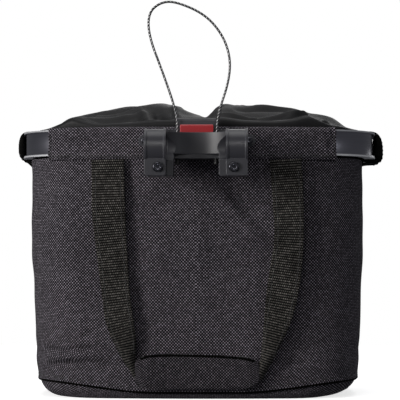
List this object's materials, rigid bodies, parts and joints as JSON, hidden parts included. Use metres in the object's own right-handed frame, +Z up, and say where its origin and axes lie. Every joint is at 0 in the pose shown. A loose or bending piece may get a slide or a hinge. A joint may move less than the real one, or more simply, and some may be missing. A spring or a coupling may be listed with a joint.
{
  "type": "handlebar basket",
  "caption": "Soft oval basket on a metal rim with a drawn-in cover, two webbing handles and a quick-release handlebar bracket with clamp straps and a cable loop.",
  "frame": {"origin": "centre of the base's underside, on the surface the basket stands on", "axes": "+Z up; +X along the handlebar, to the rider's right; -Y towards the rider, so the bracket is on the -Y side"},
  "size_m": [0.35, 0.3145, 0.363],
  "materials": {
    "rim_metal": "satin dark anodised",
    "body_cloth": "woven polyester, black with grey flecks",
    "webbing": "ribbed polyester webbing",
    "cover_nylon": "smooth coated nylon",
    "lining": "thin nylon lining",
    "drawcord": "round braided cord",
    "board": "sheet polyethylene",
    "bracket_plastic": "glass-filled nylon, satin",
    "red_plastic": "moulded red",
    "steel": "zinc plated",
    "black_screw": "black oxide",
    "cable_steel": "stranded stainless, clear coated"
  },
  "bodies": {
    "basket": {"rim_frame": "rim_metal", "rim_joiner": "rim_metal", "rim_rivets": "steel", "rim_sleeve_back": "body_cloth", "rim_sleeve_front": "body_cloth", "end_loop_right": "webbing", "end_loop_left": "webbing", "body_shell": "body_cloth", "base_panel": "body_cloth", "base_board": "board", "inner_lining": "lining", "drawstring_cover": "cover_nylon", "cover_hem": "cover_nylon", "drawstring": "drawcord", "cord_lock_barrel": "bracket_plastic", "cord_lock_spring": "steel", "receiver_bracket": "bracket_plastic", "receiver_screws": "black_screw", "receiver_backing_bar": "steel"},
    "cord_lock_plunger": {"cord_lock_plunger": "bracket_plastic"},
    "back_handle": {"back_handle_strap": "webbing", "back_handle_grip": "body_cloth"},
    "front_handle": {"front_handle_strap": "webbing", "front_handle_grip": "body_cloth"},
    "adapter": {"adapter_body": "bracket_plastic", "catch_spring": "steel", "security_cable": "cable_steel", "cable_ferrules": "steel", "clamp_nut_left": "steel", "clamp_nut_right": "steel", "clamp_hinge_pin_left": "steel", "clamp_hinge_pin_right": "steel"},
    "release_button": {"release_button": "red_plastic"},
    "clamp_left": {"clamp_strap_left": "bracket_plastic"},
    "clamp_screw_left": {"clamp_screw_left": "black_screw"},
    "clamp_right": {"clamp_strap_right": "bracket_plastic"},
    "clamp_screw_right": {"clamp_screw_right": "black_screw"}
  },
  "joints": [
    {"name": "adapter_release", "type": "slide", "parent": "basket", "child": "adapter", "axis": [0, 0, -1], "range_m": [0, 0.045]},
    {"name": "release_button_press", "type": "slide", "parent": "adapter", "child": "release_button", "axis": [0, 0, -1], "range_m": [0, 0.004], "stiffness_N_per_m": 1500, "springref_m": -0.002, "deforming": ["catch_spring"]},
    {"name": "cord_lock_press", "type": "slide", "parent": "basket", "child": "cord_lock_plunger", "axis": [0, 0, -1], "range_m": [0, 0.003], "stiffness_N_per_m": 1000, "springref_m": -0.002, "deforming": ["cord_lock_spring"]},
    {"name": "back_handle_swing", "type": "hinge", "parent": "basket", "child": "back_handle", "pos_m": [0, -0.1255, 0.219], "axis": [-1, 0, 0], "range_deg": [0, 165]},
    {"name": "front_handle_swing", "type": "hinge", "parent": "basket", "child": "front_handle", "pos_m": [0, 0.1255, 0.219], "axis": [1, 0, 0], "range_deg": [0, 165]},
    {"name": "clamp_left_open", "type": "hinge", "parent": "adapter", "child": "clamp_left", "pos_m": [-0.0366, -0.1596, 0.2425], "axis": [-1, 0, 0], "range_deg": [0, 95]},
    {"name": "clamp_screw_left_turn", "type": "hinge", "parent": "clamp_left", "child": "clamp_screw_left", "pos_m": [-0.034, -0.17, 0.2106], "axis": [0, -1, 0], "continuous": true},
    {"name": "clamp_right_open", "type": "hinge", "parent": "adapter", "child": "clamp_right", "pos_m": [0.0366, -0.1596, 0.2425], "axis": [-1, 0, 0], "range_deg": [0, 95]},
    {"name": "clamp_screw_right_turn", "type": "hinge", "parent": "clamp_right", "child": "clamp_screw_right", "pos_m": [0.034, -0.17, 0.2106], "axis": [0, -1, 0], "continuous": true}
  ]
}
